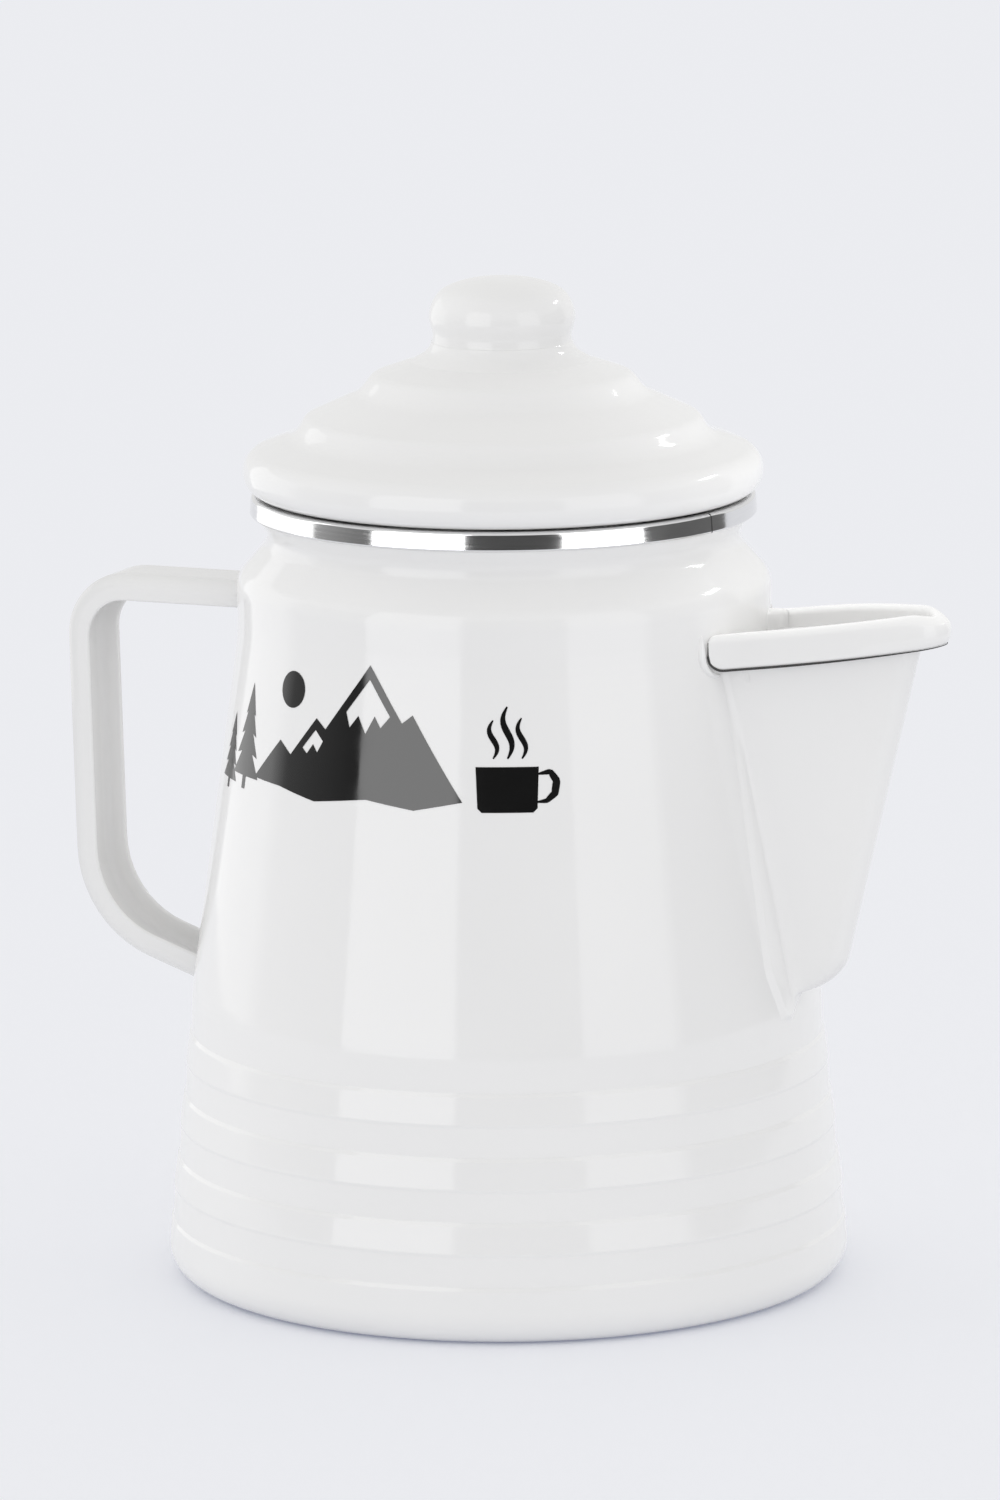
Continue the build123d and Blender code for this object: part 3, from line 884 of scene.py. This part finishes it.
def apply_modifiers(obj):
    """Bakes an object's modifiers into its mesh."""
    depsgraph = bpy.context.evaluated_depsgraph_get()
    mesh = bpy.data.meshes.new_from_object(obj.evaluated_get(depsgraph))
    obj.modifiers.clear()
    old = obj.data
    obj.data = mesh
    bpy.data.meshes.remove(old)


def hem_path(inward):
    """Plan line of the hem, moved inwards, from the near wall round the tip to the far wall.
    Each point comes with its distance from the nearer end."""
    apex = HEM_APEX_X - inward / sin(HEM_ANGLE)
    tip_r = max(0.9, HEM_TIP_R - inward)
    spread = HEM_LEG * tan(HEM_ANGLE)
    ends = [Vector((apex - HEM_LEG, side * spread)) for side in (-1, 1)]
    arc = resample(corner_arc(ends[0], Vector((apex, 0)), ends[1], tip_r), 25)
    start_x = 51.0
    for _ in range(6):      # closes in on the place where the side meets the round wall
        across = (apex - start_x) * tan(HEM_ANGLE)
        start_x = sqrt(max(wall_r(HEM_FOOT_Z) ** 2 - across ** 2, 1.0))
    start = Vector((start_x + 0.1, -(apex - start_x - 0.1) * tan(HEM_ANGLE)))
    length = (arc[0] - start).length
    steps = [HEM_END_STEP * k for k in range(17)]
    steps += [HEM_END_RUN + (length - HEM_END_RUN) * k / 30 for k in range(1, 31)]
    leg = []
    for step in steps:
        flare = HEM_FLARE * max(0.0, 1 - step / HEM_FLARE_RUN) ** 2
        leg.append((start.lerp(arc[0], step / length) - Vector((0.0, flare)), step))
    mirrored = [(Vector((p.x, -p.y)), step) for p, step in reversed(leg)]
    return leg + [(p, length) for p in arc[1:-1]] + mirrored


def end_rounding(away):
    """Lift of the hem's lower corner at a distance from the wall."""
    if away >= HEM_END_R:
        return 0.0
    return HEM_END_R - sqrt(HEM_END_R ** 2 - (HEM_END_R - away) ** 2)


def tip_inset(x, depth):
    """How far the hem's outer face draws in near its tip, at a depth below its top edge."""
    top_height, top_inset = TIP_ROUND_TOP
    low_height, low_inset = TIP_ROUND_LOW
    share = clamped((x - TIP_ROUND_X) / TIP_ROUND_RUN)
    above = max(0.0, top_height - depth) / top_height
    below = max(0.0, depth - (HEM_HEIGHT - low_height)) / low_height
    return share * (top_inset * quarter_round(above) + low_inset * quarter_round(below))


def make_hem(enamel):
    columns = []
    for p in closed_section(HEM_SECTION):
        outside = 1 + p.x / HEM_WIDTH
        low = clamped((-p.y - HEM_BEND_DEPTH) / (HEM_HEIGHT - HEM_BEND_DEPTH))
        top = max(0.0, 1 + p.y / TIP_DROP_DEPTH)
        column = []
        for place, away in hem_path(-p.x):
            place = place.lerp(TIP_CENTRE, outside * tip_inset(place.x, -p.y) / HEM_TIP_R)
            height = HEM_ROOT_Z + hem_rise(place) + p.y + end_rounding(away) * low - hem_drop(place.x) * top
            column.append((place.x, place.y, height))
        columns.append(column)
    rows = len(columns[0])
    points = [columns[j][i] for i in range(rows) for j in range(len(columns))]
    hem = new_object("spout_hem", points, sleeve_faces(rows, len(columns)), enamel, "pot")
    recalc_normals(hem)


def make_raw_edge(dark):
    """Bare edge of the folded hem: a thin dark line along its lower corner and up both ends."""
    line = []
    widths = []
    for place, away in hem_path(EDGE_INSET):
        place = place.lerp(TIP_CENTRE, tip_inset(place.x, HEM_HEIGHT - 0.3) / HEM_TIP_R)
        height = HEM_ROOT_Z + hem_rise(place) - HEM_HEIGHT + EDGE_LIFT + end_rounding(away)
        line.append(Vector((place.x, place.y, height)))
        tip = clamped((place.x - EDGE_THIN_X) / EDGE_THIN_RUN)
        widths.append(EDGE_R * (1 - EDGE_THIN * tip))
    climb = [Vector((0.0, 0.0, EDGE_END_STEP * k)) for k in range(1, 8)]
    near = [line[0] + up for up in climb]
    far = [line[-1] + up for up in climb]
    thin = [EDGE_R * (0.66 - 0.05 * k) for k in range(1, 8)]
    path = near[::-1] + line + far
    tube("hem_raw_edge", path, thin[::-1] + widths + thin, dark, "pot", 10)


def make_hem_beads(enamel):
    """Enamel bead on the pot wall round each end of the hem."""
    steps = 22
    turn_top_z = HEM_ROOT_Z - HEM_HEIGHT + BEAD_TURN_TOP
    sizes = [0.35 + 0.55 * sin(pi * k / steps) for k in range(steps + 1)]
    for side, label in HEM_SIDES:
        line = []
        for k in range(steps + 1):
            turn = pi / 2 * min(1.0, k / 11)
            across = BEAD_ACROSS - BEAD_TURN[0] * (1 - sin(turn))
            height = turn_top_z - BEAD_TURN[1] * cos(turn) + BEAD_STEP * max(0, k - 11)
            angle = asin(across / wall_r(height))
            radius = wall_r(height) - 0.1
            line.append(Vector((radius * cos(angle), side * radius * sin(angle), height)))
        tube(f"hem_bead_{label}", line, sizes, enamel, "pot", 14)


def make_inner_fillets(enamel):
    """Hollow enamel fillets between the wall and the inside of the hem, one on each side."""
    inner_apex = HEM_APEX_X + HEM_SECTION[0][0] / sin(HEM_ANGLE)
    to_hem = atan2(cos(HEM_ANGLE), sin(HEM_ANGLE)) - 2 * pi
    last = len(FILLET_HEIGHTS) - 1
    steps = 12
    for side, label in HEM_SIDES:
        points = []
        for row, height in enumerate(FILLET_HEIGHTS):
            height -= 0.0 if side > 0 else FILLET_NEAR_DROP
            sunk = FILLET_SINK + FILLET_TAPER * max(0, row - last + 3) ** 2
            reach = wall_r(height) + INNER_FILLET_R - sunk
            x = reach
            for _ in range(12):     # closes in on the centre of the round between hem and wall
                y = ((inner_apex - x) * sin(HEM_ANGLE) - INNER_FILLET_R + sunk) / cos(HEM_ANGLE)
                x = sqrt(reach ** 2 - y ** 2)
            to_wall = atan2(-y, -x)
            for k in range(steps + 1):
                angle = to_wall + (to_hem - to_wall) * k / steps
                across = y + INNER_FILLET_R * sin(angle)
                points.append((x + INNER_FILLET_R * cos(angle), side * across, height))
        faces = grid_faces(last + 1, steps + 1)
        new_object(f"spout_fillet_{label}", points, faces, enamel, "pot")


# ===== handle
def handle_section():
    """Closed outline of the channel, across its width and inwards from its back."""
    inside = HANDLE_HALF - SHEET
    inside_r = HANDLE_CORNER_R - SHEET
    return closed_section((
        (-HANDLE_HALF, HANDLE_DEPTH, HANDLE_EDGE_R),
        (-HANDLE_HALF, 0.0, HANDLE_CORNER_R),
        (HANDLE_HALF, 0.0, HANDLE_CORNER_R),
        (HANDLE_HALF, HANDLE_DEPTH, HANDLE_EDGE_R),
        (inside, HANDLE_DEPTH, HANDLE_EDGE_R),
        (inside, SHEET, inside_r),
        (-inside, SHEET, inside_r),
        (-inside, HANDLE_DEPTH, HANDLE_EDGE_R),
    ))


def make_handle(enamel):
    section = handle_section()
    path = with_supports(rounded(HANDLE_LINE), 2.0, 0.5)
    last = len(path) - 1
    points = []
    for index, place in enumerate(path):
        along = (path[min(index + 1, last)] - path[max(index - 1, 0)]).normalized()
        inward = Vector((-along.y, along.x))
        for p in section:
            x = place.x + inward.x * p.y
            z = place.y + inward.y * p.y
            on_back = p.y < HANDLE_SKIN
            on_flank = abs(p.x) > HANDLE_HALF - 0.02
            gap = hypot(x, p.x) - wall_r(z)
            flare = 0.0
            if (on_back or on_flank) and gap < WELD_R:
                gap = max(gap, 0.0)
                flare = WELD_R - sqrt(WELD_R ** 2 - (WELD_R - gap) ** 2)
            sideways = flare * p.x / HANDLE_HALF
            outward = flare if on_back else 0.0
            points.append((x - inward.x * outward, p.x + sideways, z - inward.y * outward))
    faces = sleeve_faces(len(path), len(section))
    handle = new_object("handle_channel", points, faces, enamel, "pot")
    recalc_normals(handle)
    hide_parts("handle")


# ===== printed drawing
def pine(middle, foot, height, width, layers=4):
    """Outline of a fir tree as a zigzag, from its left foot round the tip."""
    trunk = 0.12            # its height and its width, as shares of the tree's
    crown = (1 - trunk) / (layers + 0.6)
    left = [(middle - width * trunk / 2, foot), (middle - width * trunk / 2, foot + height * trunk)]
    for layer in range(layers):
        low = foot + height * (trunk + crown * layer)
        high = foot + height * (trunk + crown * (layer + 1.15))
        reach = width * 0.5 * (1 - layer / (layers + 0.9))
        neck = reach * 0.42
        left.append((middle - reach, low))
        left.append((middle - neck, high))
    left.pop()
    right = [(2 * middle - x, y) for x, y in reversed(left)]
    return left + [(middle, foot + height)] + right


def circle(x, y, radius):
    """Outline of the sun."""
    count = 28
    angles = [turned(k, count) for k in range(count)]
    return [(x + radius * cos(angle), y + radius * sin(angle)) for angle in angles]


def ribbon(points, width):
    """Closed outline of a stroke along a curve, thin at both ends."""
    line = resample([Vector(p) for p in points], STROKE_POINTS)
    last = STROKE_POINTS - 1
    left = []
    right = []
    for index, place in enumerate(line):
        along = (line[min(index + 1, last)] - line[max(index - 1, 0)]).normalized()
        side = Vector((-along.y, along.x))
        half = width * 0.5 * (0.25 + 0.75 * sin(pi * index / last))
        left.append(tuple(place + side * half))
        right.append(tuple(place - side * half))
    return left + right[::-1]


def wave(x, low, high, swing):
    """Steam wisp: a rising line that swings from side to side."""
    steps = 12
    rise = (high - low) / steps
    return [(x + swing * sin(turned(k, steps)), low + rise * k) for k in range(steps + 1)]


def drawing_shapes():
    """Outlines of the landscape, each with its holes: mountains with snow, firs, steaming mug, sun."""
    mountains = [
        (-27, 6.5), (-19, 15.0), (-15.5, 12.6), (-9, 20.5), (-6.5, 18.6), (3.5, 32.0), (11, 21.2),
        (13.2, 22.9), (20.5, 11.2), (23.5, 6.5), (14, 4.6), (4, 6.0), (-8, 4.4), (-18, 6.1),
    ]
    snow = [
        (3.5, 29.2), (8.4, 22.3), (6.4, 20.0), (5.0, 22.2),
        (3.1, 18.6), (1.3, 22.0), (-0.6, 19.6), (-1.6, 22.5),
    ]
    low_snow = [(-9, 18.2), (-6.9, 16.2), (-8.2, 13.9), (-9.4, 15.4), (-10.9, 13.4), (-12.2, 14.4)]
    mug = [(27.2, 4.6), (37.0, 4.6), (37.8, 5.4), (38.2, 13.4), (26.0, 13.4), (26.4, 5.4)]
    grip = ribbon([(38.0, 12.0), (40.4, 12.4), (41.6, 10.6), (41.2, 8.2), (39.6, 6.8), (37.8, 6.6)], 1.5)
    return [
        (mountains, [snow, low_snow]),
        (pine(-31.5, 3.4, 21.0, 11.5), []),
        (pine(-40.0, 2.2, 15.0, 9.0), []),
        (mug, []),
        (grip, []),
        (ribbon(wave(29.4, 15.0, 22.4, 0.8), 1.1), []),
        (ribbon(wave(32.2, 15.0, 25.0, 0.9), 1.3), []),
        (ribbon(wave(35.0, 15.0, 22.8, 0.8), 1.1), []),
        (circle(-16.5, 25.2, 3.6), []),
    ]


def inside_polygon(x, y, polygon):
    inside = False
    for (x0, y0), (x1, y1) in zip(polygon, polygon[1:] + polygon[:1]):
        if (y0 > y) != (y1 > y) and x < (x1 - x0) * (y - y0) / (y1 - y0) + x0:
            inside = not inside
    return inside


def inside_shape(x, y, loops):
    """Whether a point lies inside the first loop and outside the others, its holes."""
    return inside_polygon(x, y, loops[0]) and not any(inside_polygon(x, y, hole) for hole in loops[1:])


def dense_loop(loop, step=1.6):
    """Closed loop with extra points, so that it bends with the wall."""
    points = []
    for start, end in zip(loop, loop[1:] + loop[:1]):
        run_x = end[0] - start[0]
        run_y = end[1] - start[1]
        count = max(1, ceil(hypot(run_x, run_y) / step))
        points.extend((start[0] + run_x * k / count, start[1] + run_y * k / count) for k in range(count))
    return points


def filled_shape(outline, holes):
    """Triangles over a shape with holes, with inner points for the wall's curve."""
    loops = [dense_loop(loop) for loop in [outline] + holes]
    points = []
    edges = []
    for loop in loops:
        first = len(points)
        points.extend(loop)
        edges.extend((first + k, first + (k + 1) % len(loop)) for k in range(len(loop)))
    border = list(points)
    xs, ys = zip(*border)
    x = min(xs) + PRINT_GRID / 2
    while x < max(xs):
        y = min(ys) + PRINT_GRID / 2
        while y < max(ys):
            clearance = min(hypot(x - p[0], y - p[1]) for p in border)
            if clearance > PRINT_MARGIN and inside_shape(x, y, loops):
                points.append((x, y))
            y += PRINT_GRID
        x += PRINT_GRID
    result = geometry.delaunay_2d_cdt([Vector(p) for p in points], edges, [], 0, 1e-5)
    places = result[0]
    faces = []
    for face in result[2]:
        middle = sum((places[k] for k in face), Vector((0, 0))) / len(face)
        if inside_shape(middle.x, middle.y, loops):
            faces.append(tuple(face))
    return [tuple(p) for p in places], faces


def on_wall(across, up):
    """Place of a point of the drawing on the pot's cone."""
    height = PRINT_LOW_Z + up
    radius = wall_r(height) + PRINT_RISE
    angle = PRINT_AZIMUTH + across / wall_r(PRINT_LOW_Z + PRINT_MIDDLE)
    return (radius * cos(angle), radius * sin(angle), height)


def wall_normal(point):
    """Outward direction of the pot's wall at a point on it."""
    x, y, height = point
    slope = (wall_r(height + 1.0) - wall_r(height - 1.0)) / 2.0
    radius = hypot(x, y)
    return Vector((x / radius, y / radius, -slope)).normalized()


def make_print(ink):
    points = []
    faces = []
    for outline, holes in drawing_shapes():
        shape_points, shape_faces = filled_shape(outline, holes)
        first = len(points)
        points.extend(on_wall(*p) for p in shape_points)
        faces.extend(tuple(first + k for k in face) for face in shape_faces)
    drawing = new_object("landscape_print", points, faces, ink, "pot")
    drawing.data.normals_split_custom_set_from_vertices([wall_normal(point) for point in points])


# ===== studio
def add_camera():
    place = Vector(CAMERA_AT) * MM
    forward = (Vector(CAMERA_AIM) * MM - place).normalized()
    level = forward.cross(Vector((0, 0, 1))).normalized()
    upright = level.cross(forward)
    roll = radians(CAMERA_ROLL)
    right = level * cos(roll) - upright * sin(roll)
    up = level * sin(roll) + upright * cos(roll)
    data = bpy.data.cameras.new("camera")
    data.lens = CAMERA_LENS
    camera = bpy.data.objects.new("camera", data)
    turn = Matrix((right, up, -forward)).transposed().to_4x4()
    camera.matrix_world = Matrix.Translation(place) @ turn
    bpy.context.scene.collection.objects.link(camera)
    bpy.context.scene.camera = camera


def aimed_panel(name, azimuth, elevation, distance, width, height, radiance, aim_z, pieces):
    """Rectangular light aimed at the pot's axis, reaching the given pieces only."""
    data = bpy.data.lights.new(name, "AREA")
    data.shape = "RECTANGLE"
    data.size = width
    data.size_y = height
    data.energy = radiance * pi * width * height
    light = bpy.data.objects.new(name, data)
    turn = radians(CAMERA_AZIMUTH + azimuth)
    rise = radians(elevation)
    aim = Vector((0, 0, aim_z))
    place = aim + distance * Vector((cos(rise) * cos(turn), cos(rise) * sin(turn), sin(rise)))
    facing = (place - aim).to_track_quat("Z", "Y").to_matrix().to_4x4()
    light.matrix_world = Matrix.Translation(place) @ facing
    light.visible_camera = False
    light.light_linking.receiver_collection = pieces
    bpy.context.scene.collection.objects.link(light)
    return light


def add_softbox(name, azimuth, half_angle, radiance, pieces):
    """Upright rectangular light that only shows as a reflection."""
    width = 2 * SOFTBOX_DISTANCE * tan(radians(half_angle))
    height = SOFTBOX_TOP_Z - SOFTBOX_LOW_Z
    middle_z = (SOFTBOX_LOW_Z + SOFTBOX_TOP_Z) / 2
    light = aimed_panel(name, azimuth, 0.0, SOFTBOX_DISTANCE, width, height, radiance, middle_z, pieces)
    light.visible_diffuse = False


def add_card(name, start, end, left, right):
    """Upright curved card that only shows in reflections."""
    points = []
    for k in range(CARD_STEPS + 1):
        turn = radians(CAMERA_AZIMUTH + start + (end - start) * k / CARD_STEPS)
        for height in (CARD_LOW_Z, CARD_TOP_Z):
            points.append((CARD_DISTANCE * cos(turn), CARD_DISTANCE * sin(turn), height))
    faces = [(2 * k, 2 * k + 2, 2 * k + 3, 2 * k + 1) for k in range(CARD_STEPS)]
    card = new_object(name, points, faces, card_material(name, left, right))
    shares = card.data.uv_layers.new(name="across")
    for loop in card.data.loops:
        shares.data[loop.index].uv = ((loop.vertex_index // 2) / CARD_STEPS, loop.vertex_index % 2)
    card.visible_camera = False
    card.visible_diffuse = False
    card.visible_shadow = False
    card.visible_transmission = False


def collect(name, wanted):
    """Collection of the meshes whose names are wanted."""
    pieces = bpy.data.collections.new(name)
    for obj in bpy.data.objects:
        if obj.type == "MESH" and wanted(obj.name):
            pieces.objects.link(obj)
    return pieces


def light_groups():
    """The groups of pieces that lights reach, by their short names."""
    band = "rim_band_rolled"
    return {
        "all": collect("pot_pieces", lambda name: True),
        "band": collect("band_pieces", lambda name: name == band),
        "coated": collect("coated_pieces", lambda name: name != band),
        "coated_but_handle": collect("coated_but_handle", lambda name: name not in (band, "handle_channel")),
        "spout": collect("spout_pieces", lambda name: name.startswith(("spout", "hem_bead"))),
        "lid": collect("lid_pieces", lambda name: name.startswith("lid")),
        "throat": collect("throat_pieces", lambda name: name in ("pot_body", "lid_dome")),
    }


def add_lights():
    """Softboxes and the lamp only show as reflections, and fills never do."""
    groups = light_groups()
    for *values, group in SOFTBOXES:
        add_softbox(*values, groups[group])
    aimed_panel(*LAMP[:-1], groups[LAMP[-1]]).visible_diffuse = False
    for *values, group in FILLS:
        aimed_panel(*values, groups[group]).visible_glossy = False
    # the light for the inside of the spout's mouth is shaded by the spout alone
    bpy.data.objects["fill_inside"].light_linking.blocker_collection = groups["spout"]


def add_world():
    world = bpy.data.worlds.new("studio_tent")
    world.use_nodes = True
    set_inputs(world.node_tree.nodes["Background"], {"Color": (1.0, 1.0, 1.0, 1), "Strength": WORLD_GLOW})
    bpy.context.scene.world = world


def add_floor():
    signs = ((-1, -1), (1, -1), (1, 1), (-1, 1))
    corners = [(x * FLOOR_HALF, y * FLOOR_HALF, FLOOR_Z) for x, y in signs]
    floor = new_object("studio_floor", corners, [(0, 1, 2, 3)], floor_material())


# ===== main
def main():
    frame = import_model()
    add_camera()
    add_world()
    bpy.context.scene.view_settings.view_transform = "Standard"

    enamel = enamel_material()
    polished = steel_material("polished_band", BAND_TONES, (0.08, 0.14), 40.0)
    satin = steel_material("satin_steel", SATIN_TONES, (0.24, 0.36), 30.0)
    dark_edge = raw_edge_material()
    make_pot(enamel)
    make_rim_band(polished)
    make_band_joint(dark_edge)
    make_spout(enamel)
    make_hem(enamel)
    make_raw_edge(dark_edge)
    make_hem_beads(enamel)
    make_inner_fillets(enamel)
    make_handle(enamel)
    make_lid(enamel)
    make_knob(enamel)
    make_skirt(satin)
    make_print(ink_material())

    for name in ("riser_tube", "pump_bell", "basket_stop", "basket_cup", "basket_sleeve", "basket_spreader"):
        node = frame["nodes"][name]
        for slot in node.material_slots:
            slot.material = satin

    add_lights()
    for card in CARDS:
        add_card(*card)
    add_floor()


main()
